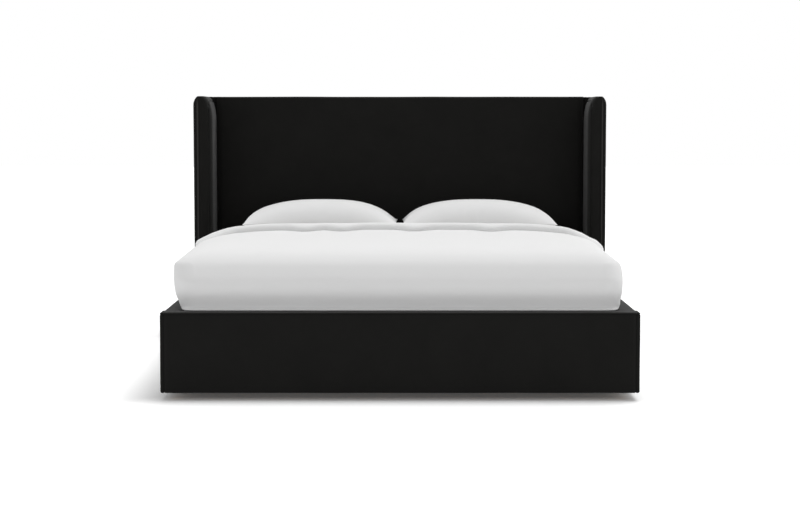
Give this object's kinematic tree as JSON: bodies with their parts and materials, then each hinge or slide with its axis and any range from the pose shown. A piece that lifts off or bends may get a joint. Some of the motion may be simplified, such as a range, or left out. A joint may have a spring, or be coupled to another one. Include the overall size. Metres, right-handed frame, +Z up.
{
  "type": "upholstered bed",
  "caption": "Queen platform bed with a winged padded headboard, padded box rails, a slatted base, a mattress, a duvet with a folded cuff, and pillows.",
  "frame": {"origin": "on the floor, under the middle of the whole bed's width and length", "axes": "+X across the bed from left to right seen from the foot, +Y from the foot to the head, +Z up"},
  "size_m": [1.9, 2.2159, 1.106],
  "materials": {
    "black_velvet": "matte",
    "white_cotton": "matte",
    "mattress_ticking": "matte",
    "pine": "satin",
    "plywood": "satin",
    "slat_wood": "satin",
    "black_steel": "satin",
    "zinc_steel": "satin",
    "rubber": "matte",
    "black_plastic": "matte"
  },
  "bodies": {
    "frame": {"beam_hanger_foot": "black_steel", "beam_hanger_head": "black_steel", "centre_beam": "pine", "centre_leg_1": "black_steel", "centre_leg_2": "black_steel", "centre_leg_3": "black_steel", "connector_bolts": "zinc_steel", "corner_bracket_foot_left": "black_steel", "corner_bracket_foot_right": "black_steel", "corner_bracket_head_left": "black_steel", "corner_bracket_head_right": "black_steel", "foot_rail_core": "pine", "foot_rail_cover": "black_velvet", "headboard_back_cover": "black_velvet", "headboard_bottom_rail": "pine", "headboard_face_board": "plywood", "headboard_foot_left": "black_plastic", "headboard_foot_right": "black_plastic", "headboard_middle_stile": "pine", "headboard_pad": "black_velvet", "headboard_stile_left": "pine", "headboard_stile_right": "pine", "headboard_top_rail": "pine", "leg_glides": "rubber", "rail_foot_front_left": "black_plastic", "rail_foot_front_right": "black_plastic", "rail_foot_rear_left": "black_plastic", "rail_foot_rear_right": "black_plastic", "side_rail_core_left": "pine", "side_rail_core_right": "pine", "side_rail_cover_left": "black_velvet", "side_rail_cover_right": "black_velvet", "slat_01": "slat_wood", "slat_02": "slat_wood", "slat_03": "slat_wood", "slat_04": "slat_wood", "slat_05": "slat_wood", "slat_06": "slat_wood", "slat_07": "slat_wood", "slat_08": "slat_wood", "slat_09": "slat_wood", "slat_10": "slat_wood", "slat_11": "slat_wood", "slat_12": "slat_wood", "slat_ledger_left": "pine", "slat_ledger_right": "pine", "threaded_inserts": "zinc_steel", "wing_cleat_left": "pine", "wing_cleat_right": "pine", "wing_core_left": "plywood", "wing_core_right": "plywood", "wing_pad_left": "black_velvet", "wing_pad_right": "black_velvet", "wood_screws": "zinc_steel"},
    "mattress": {"mattress": "mattress_ticking"},
    "duvet": {"duvet": "white_cotton"},
    "pillow_left": {"pillow_left": "white_cotton"},
    "pillow_right": {"pillow_right": "white_cotton"}
  },
  "joints": [
    {"name": "mattress_lift", "type": "slide", "parent": "frame", "child": "mattress", "axis": [0, 0, 1], "range_m": [0, 0.45]},
    {"name": "duvet_lift", "type": "slide", "parent": "mattress", "child": "duvet", "axis": [0, 0, 1], "range_m": [0, 0.4]},
    {"name": "pillow_left_lift", "type": "slide", "parent": "mattress", "child": "pillow_left", "axis": [0, 0, 1], "range_m": [0, 0.3]},
    {"name": "pillow_right_lift", "type": "slide", "parent": "mattress", "child": "pillow_right", "axis": [0, 0, 1], "range_m": [0, 0.3]}
  ]
}
